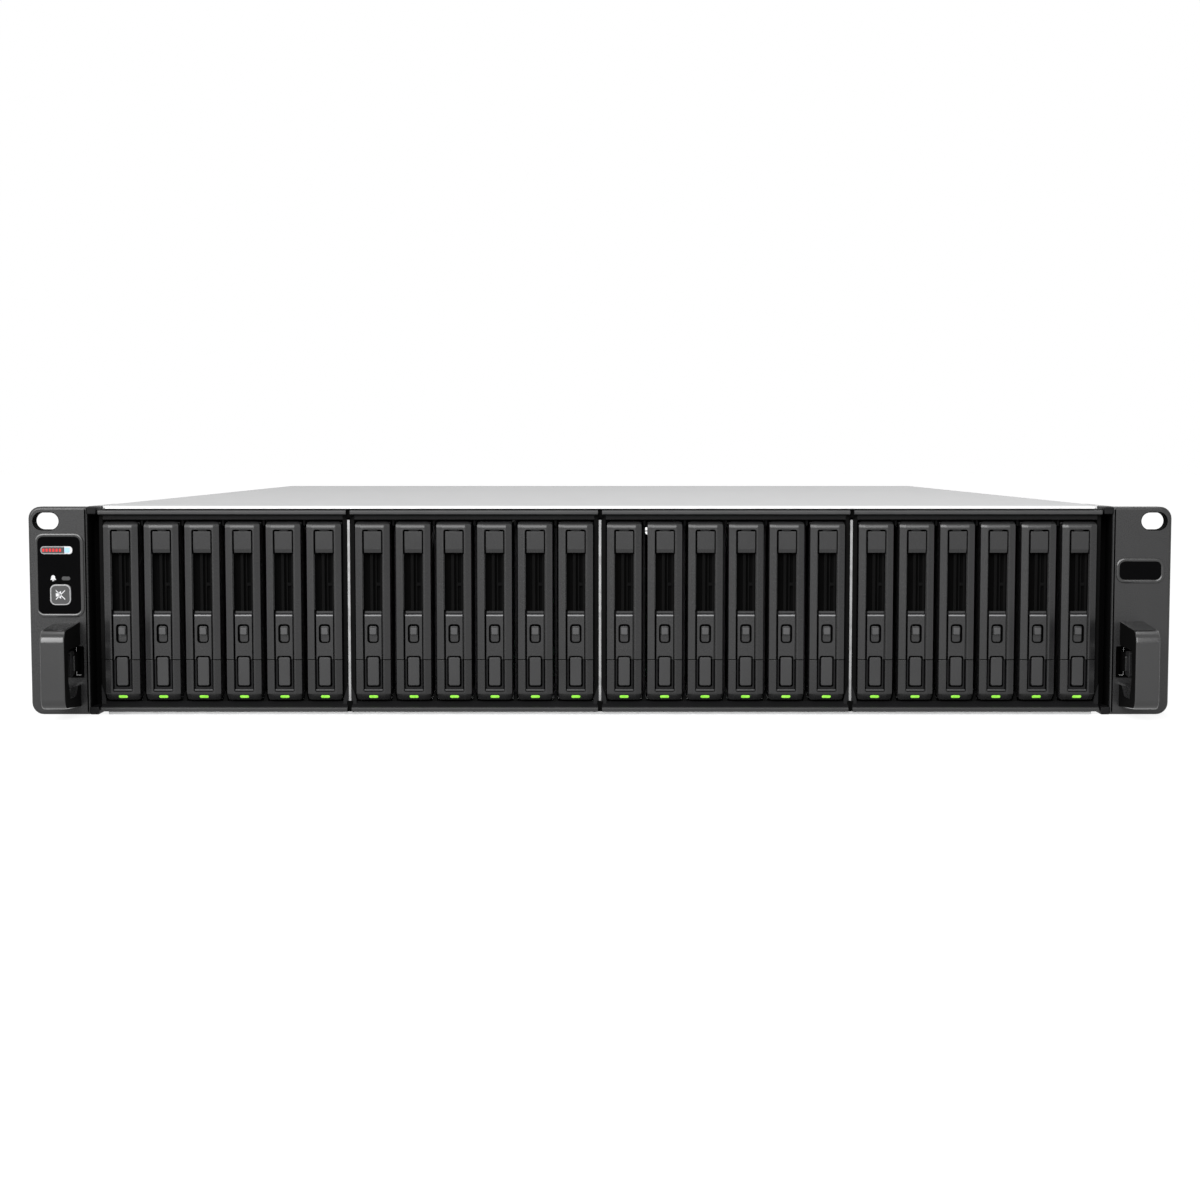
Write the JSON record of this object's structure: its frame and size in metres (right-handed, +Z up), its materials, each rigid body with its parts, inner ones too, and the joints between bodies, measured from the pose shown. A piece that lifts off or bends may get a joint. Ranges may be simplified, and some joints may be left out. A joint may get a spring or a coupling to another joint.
{
  "type": "disk shelf enclosure",
  "caption": "Two-unit rack disk shelf with a row of upright hot-swap drive trays, pull-handle ears, fans, slide-out power supplies and an expansion module.",
  "frame": {"origin": "centre of the chassis underside", "axes": "+X to the right seen from the front, +Y from the drive bays to the rear wall, +Z up"},
  "size_m": [0.482, 0.75, 0.088],
  "materials": {
    "galvanised_steel": "satin",
    "black_plastic": "matte",
    "ear_plastic": "matte",
    "tray_plastic": "matte",
    "lever_plastic": "matte",
    "fan_plastic": "matte",
    "module_steel": "satin",
    "supply_steel": "satin",
    "button_plastic": "satin",
    "latch_steel": "satin"
  },
  "bodies": {
    "shelf": {"chassis": "galvanised_steel", "drive_cage": "galvanised_steel", "bay_frames": "black_plastic", "rack_ears": "ear_plastic", "fan_modules": "fan_plastic", "expander_module": "module_steel"},
    "top_cover": {"top_cover": "galvanised_steel"},
    "mute_button": {"mute_button": "button_plastic"},
    "left_rack_latch": {"left_rack_latch": "latch_steel"},
    "right_rack_latch": {"right_rack_latch": "latch_steel"},
    "power_supply_1": {"power_supply_1": "supply_steel"},
    "power_supply_2": {"power_supply_2": "supply_steel"},
    "drive_tray_01": {"drive_tray_01": "tray_plastic"},
    "tray_lever_01": {"tray_lever_01": "lever_plastic"},
    "drive_tray_02": {"drive_tray_02": "tray_plastic"},
    "tray_lever_02": {"tray_lever_02": "lever_plastic"},
    "drive_tray_03": {"drive_tray_03": "tray_plastic"},
    "tray_lever_03": {"tray_lever_03": "lever_plastic"},
    "drive_tray_04": {"drive_tray_04": "tray_plastic"},
    "tray_lever_04": {"tray_lever_04": "lever_plastic"},
    "drive_tray_05": {"drive_tray_05": "tray_plastic"},
    "tray_lever_05": {"tray_lever_05": "lever_plastic"},
    "drive_tray_06": {"drive_tray_06": "tray_plastic"},
    "tray_lever_06": {"tray_lever_06": "lever_plastic"},
    "drive_tray_07": {"drive_tray_07": "tray_plastic"},
    "tray_lever_07": {"tray_lever_07": "lever_plastic"},
    "drive_tray_08": {"drive_tray_08": "tray_plastic"},
    "tray_lever_08": {"tray_lever_08": "lever_plastic"},
    "drive_tray_09": {"drive_tray_09": "tray_plastic"},
    "tray_lever_09": {"tray_lever_09": "lever_plastic"},
    "drive_tray_10": {"drive_tray_10": "tray_plastic"},
    "tray_lever_10": {"tray_lever_10": "lever_plastic"},
    "drive_tray_11": {"drive_tray_11": "tray_plastic"},
    "tray_lever_11": {"tray_lever_11": "lever_plastic"},
    "drive_tray_12": {"drive_tray_12": "tray_plastic"},
    "tray_lever_12": {"tray_lever_12": "lever_plastic"},
    "drive_tray_13": {"drive_tray_13": "tray_plastic"},
    "tray_lever_13": {"tray_lever_13": "lever_plastic"},
    "drive_tray_14": {"drive_tray_14": "tray_plastic"},
    "tray_lever_14": {"tray_lever_14": "lever_plastic"},
    "drive_tray_15": {"drive_tray_15": "tray_plastic"},
    "tray_lever_15": {"tray_lever_15": "lever_plastic"},
    "drive_tray_16": {"drive_tray_16": "tray_plastic"},
    "tray_lever_16": {"tray_lever_16": "lever_plastic"},
    "drive_tray_17": {"drive_tray_17": "tray_plastic"},
    "tray_lever_17": {"tray_lever_17": "lever_plastic"},
    "drive_tray_18": {"drive_tray_18": "tray_plastic"},
    "tray_lever_18": {"tray_lever_18": "lever_plastic"},
    "drive_tray_19": {"drive_tray_19": "tray_plastic"},
    "tray_lever_19": {"tray_lever_19": "lever_plastic"},
    "drive_tray_20": {"drive_tray_20": "tray_plastic"},
    "tray_lever_20": {"tray_lever_20": "lever_plastic"},
    "drive_tray_21": {"drive_tray_21": "tray_plastic"},
    "tray_lever_21": {"tray_lever_21": "lever_plastic"},
    "drive_tray_22": {"drive_tray_22": "tray_plastic"},
    "tray_lever_22": {"tray_lever_22": "lever_plastic"},
    "drive_tray_23": {"drive_tray_23": "tray_plastic"},
    "tray_lever_23": {"tray_lever_23": "lever_plastic"},
    "drive_tray_24": {"drive_tray_24": "tray_plastic"},
    "tray_lever_24": {"tray_lever_24": "lever_plastic"}
  },
  "joints": [
    {"name": "cover_slide", "type": "slide", "parent": "shelf", "child": "top_cover", "axis": [0, 1, 0], "range_m": [0, 0.04]},
    {"name": "mute_button_press", "type": "slide", "parent": "shelf", "child": "mute_button", "axis": [0, 1, 0], "range_m": [0, 0.0008], "stiffness_N_per_m": 200},
    {"name": "left_latch_swing", "type": "hinge", "parent": "shelf", "child": "left_rack_latch", "pos_m": [-0.222, -0.324, 0.0222], "axis": [1, 0, 0], "range_deg": [0, 4], "stiffness_Nm_per_rad": 0.2, "springref_deg": -17.19},
    {"name": "right_latch_swing", "type": "hinge", "parent": "shelf", "child": "right_rack_latch", "pos_m": [0.222, -0.324, 0.0222], "axis": [1, 0, 0], "range_deg": [0, 4], "stiffness_Nm_per_rad": 0.2, "springref_deg": -17.19},
    {"name": "power_supply_1_slide", "type": "slide", "parent": "shelf", "child": "power_supply_1", "axis": [0, 1, 0], "range_m": [0, 0.15]},
    {"name": "power_supply_2_slide", "type": "slide", "parent": "shelf", "child": "power_supply_2", "axis": [0, 1, 0], "range_m": [0, 0.15]},
    {"name": "tray_01_slide", "type": "slide", "parent": "shelf", "child": "drive_tray_01", "axis": [0, -1, 0], "range_m": [0, 0.11]},
    {"name": "tray_01_lever_swing", "type": "hinge", "parent": "drive_tray_01", "child": "tray_lever_01", "pos_m": [-0.20231, -0.34335, 0.079], "axis": [-1, 0, 0], "range_deg": [0, 45]},
    {"name": "tray_02_slide", "type": "slide", "parent": "shelf", "child": "drive_tray_02", "axis": [0, -1, 0], "range_m": [0, 0.11]},
    {"name": "tray_02_lever_swing", "type": "hinge", "parent": "drive_tray_02", "child": "tray_lever_02", "pos_m": [-0.18515, -0.34335, 0.079], "axis": [-1, 0, 0], "range_deg": [0, 45]},
    {"name": "tray_03_slide", "type": "slide", "parent": "shelf", "child": "drive_tray_03", "axis": [0, -1, 0], "range_m": [0, 0.11]},
    {"name": "tray_03_lever_swing", "type": "hinge", "parent": "drive_tray_03", "child": "tray_lever_03", "pos_m": [-0.168, -0.34335, 0.079], "axis": [-1, 0, 0], "range_deg": [0, 45]},
    {"name": "tray_04_slide", "type": "slide", "parent": "shelf", "child": "drive_tray_04", "axis": [0, -1, 0], "range_m": [0, 0.11]},
    {"name": "tray_04_lever_swing", "type": "hinge", "parent": "drive_tray_04", "child": "tray_lever_04", "pos_m": [-0.15084, -0.34335, 0.079], "axis": [-1, 0, 0], "range_deg": [0, 45]},
    {"name": "tray_05_slide", "type": "slide", "parent": "shelf", "child": "drive_tray_05", "axis": [0, -1, 0], "range_m": [0, 0.11]},
    {"name": "tray_05_lever_swing", "type": "hinge", "parent": "drive_tray_05", "child": "tray_lever_05", "pos_m": [-0.13369, -0.34335, 0.079], "axis": [-1, 0, 0], "range_deg": [0, 45]},
    {"name": "tray_06_slide", "type": "slide", "parent": "shelf", "child": "drive_tray_06", "axis": [0, -1, 0], "range_m": [0, 0.11]},
    {"name": "tray_06_lever_swing", "type": "hinge", "parent": "drive_tray_06", "child": "tray_lever_06", "pos_m": [-0.11653, -0.34335, 0.079], "axis": [-1, 0, 0], "range_deg": [0, 45]},
    {"name": "tray_07_slide", "type": "slide", "parent": "shelf", "child": "drive_tray_07", "axis": [0, -1, 0], "range_m": [0, 0.11]},
    {"name": "tray_07_lever_swing", "type": "hinge", "parent": "drive_tray_07", "child": "tray_lever_07", "pos_m": [-0.09603, -0.34335, 0.079], "axis": [-1, 0, 0], "range_deg": [0, 45]},
    {"name": "tray_08_slide", "type": "slide", "parent": "shelf", "child": "drive_tray_08", "axis": [0, -1, 0], "range_m": [0, 0.11]},
    {"name": "tray_08_lever_swing", "type": "hinge", "parent": "drive_tray_08", "child": "tray_lever_08", "pos_m": [-0.07887, -0.34335, 0.079], "axis": [-1, 0, 0], "range_deg": [0, 45]},
    {"name": "tray_09_slide", "type": "slide", "parent": "shelf", "child": "drive_tray_09", "axis": [0, -1, 0], "range_m": [0, 0.11]},
    {"name": "tray_09_lever_swing", "type": "hinge", "parent": "drive_tray_09", "child": "tray_lever_09", "pos_m": [-0.06172, -0.34335, 0.079], "axis": [-1, 0, 0], "range_deg": [0, 45]},
    {"name": "tray_10_slide", "type": "slide", "parent": "shelf", "child": "drive_tray_10", "axis": [0, -1, 0], "range_m": [0, 0.11]},
    {"name": "tray_10_lever_swing", "type": "hinge", "parent": "drive_tray_10", "child": "tray_lever_10", "pos_m": [-0.04456, -0.34335, 0.079], "axis": [-1, 0, 0], "range_deg": [0, 45]},
    {"name": "tray_11_slide", "type": "slide", "parent": "shelf", "child": "drive_tray_11", "axis": [0, -1, 0], "range_m": [0, 0.11]},
    {"name": "tray_11_lever_swing", "type": "hinge", "parent": "drive_tray_11", "child": "tray_lever_11", "pos_m": [-0.02741, -0.34335, 0.079], "axis": [-1, 0, 0], "range_deg": [0, 45]},
    {"name": "tray_12_slide", "type": "slide", "parent": "shelf", "child": "drive_tray_12", "axis": [0, -1, 0], "range_m": [0, 0.11]},
    {"name": "tray_12_lever_swing", "type": "hinge", "parent": "drive_tray_12", "child": "tray_lever_12", "pos_m": [-0.01025, -0.34335, 0.079], "axis": [-1, 0, 0], "range_deg": [0, 45]},
    {"name": "tray_13_slide", "type": "slide", "parent": "shelf", "child": "drive_tray_13", "axis": [0, -1, 0], "range_m": [0, 0.11]},
    {"name": "tray_13_lever_swing", "type": "hinge", "parent": "drive_tray_13", "child": "tray_lever_13", "pos_m": [0.01025, -0.34335, 0.079], "axis": [-1, 0, 0], "range_deg": [0, 45]},
    {"name": "tray_14_slide", "type": "slide", "parent": "shelf", "child": "drive_tray_14", "axis": [0, -1, 0], "range_m": [0, 0.11]},
    {"name": "tray_14_lever_swing", "type": "hinge", "parent": "drive_tray_14", "child": "tray_lever_14", "pos_m": [0.02741, -0.34335, 0.079], "axis": [-1, 0, 0], "range_deg": [0, 45]},
    {"name": "tray_15_slide", "type": "slide", "parent": "shelf", "child": "drive_tray_15", "axis": [0, -1, 0], "range_m": [0, 0.11]},
    {"name": "tray_15_lever_swing", "type": "hinge", "parent": "drive_tray_15", "child": "tray_lever_15", "pos_m": [0.04456, -0.34335, 0.079], "axis": [-1, 0, 0], "range_deg": [0, 45]},
    {"name": "tray_16_slide", "type": "slide", "parent": "shelf", "child": "drive_tray_16", "axis": [0, -1, 0], "range_m": [0, 0.11]},
    {"name": "tray_16_lever_swing", "type": "hinge", "parent": "drive_tray_16", "child": "tray_lever_16", "pos_m": [0.06172, -0.34335, 0.079], "axis": [-1, 0, 0], "range_deg": [0, 45]},
    {"name": "tray_17_slide", "type": "slide", "parent": "shelf", "child": "drive_tray_17", "axis": [0, -1, 0], "range_m": [0, 0.11]},
    {"name": "tray_17_lever_swing", "type": "hinge", "parent": "drive_tray_17", "child": "tray_lever_17", "pos_m": [0.07887, -0.34335, 0.079], "axis": [-1, 0, 0], "range_deg": [0, 45]},
    {"name": "tray_18_slide", "type": "slide", "parent": "shelf", "child": "drive_tray_18", "axis": [0, -1, 0], "range_m": [0, 0.11]},
    {"name": "tray_18_lever_swing", "type": "hinge", "parent": "drive_tray_18", "child": "tray_lever_18", "pos_m": [0.09603, -0.34335, 0.079], "axis": [-1, 0, 0], "range_deg": [0, 45]},
    {"name": "tray_19_slide", "type": "slide", "parent": "shelf", "child": "drive_tray_19", "axis": [0, -1, 0], "range_m": [0, 0.11]},
    {"name": "tray_19_lever_swing", "type": "hinge", "parent": "drive_tray_19", "child": "tray_lever_19", "pos_m": [0.11653, -0.34335, 0.079], "axis": [-1, 0, 0], "range_deg": [0, 45]},
    {"name": "tray_20_slide", "type": "slide", "parent": "shelf", "child": "drive_tray_20", "axis": [0, -1, 0], "range_m": [0, 0.11]},
    {"name": "tray_20_lever_swing", "type": "hinge", "parent": "drive_tray_20", "child": "tray_lever_20", "pos_m": [0.13369, -0.34335, 0.079], "axis": [-1, 0, 0], "range_deg": [0, 45]},
    {"name": "tray_21_slide", "type": "slide", "parent": "shelf", "child": "drive_tray_21", "axis": [0, -1, 0], "range_m": [0, 0.11]},
    {"name": "tray_21_lever_swing", "type": "hinge", "parent": "drive_tray_21", "child": "tray_lever_21", "pos_m": [0.15084, -0.34335, 0.079], "axis": [-1, 0, 0], "range_deg": [0, 45]},
    {"name": "tray_22_slide", "type": "slide", "parent": "shelf", "child": "drive_tray_22", "axis": [0, -1, 0], "range_m": [0, 0.11]},
    {"name": "tray_22_lever_swing", "type": "hinge", "parent": "drive_tray_22", "child": "tray_lever_22", "pos_m": [0.168, -0.34335, 0.079], "axis": [-1, 0, 0], "range_deg": [0, 45]},
    {"name": "tray_23_slide", "type": "slide", "parent": "shelf", "child": "drive_tray_23", "axis": [0, -1, 0], "range_m": [0, 0.11]},
    {"name": "tray_23_lever_swing", "type": "hinge", "parent": "drive_tray_23", "child": "tray_lever_23", "pos_m": [0.18515, -0.34335, 0.079], "axis": [-1, 0, 0], "range_deg": [0, 45]},
    {"name": "tray_24_slide", "type": "slide", "parent": "shelf", "child": "drive_tray_24", "axis": [0, -1, 0], "range_m": [0, 0.11]},
    {"name": "tray_24_lever_swing", "type": "hinge", "parent": "drive_tray_24", "child": "tray_lever_24", "pos_m": [0.20231, -0.34335, 0.079], "axis": [-1, 0, 0], "range_deg": [0, 45]}
  ]
}
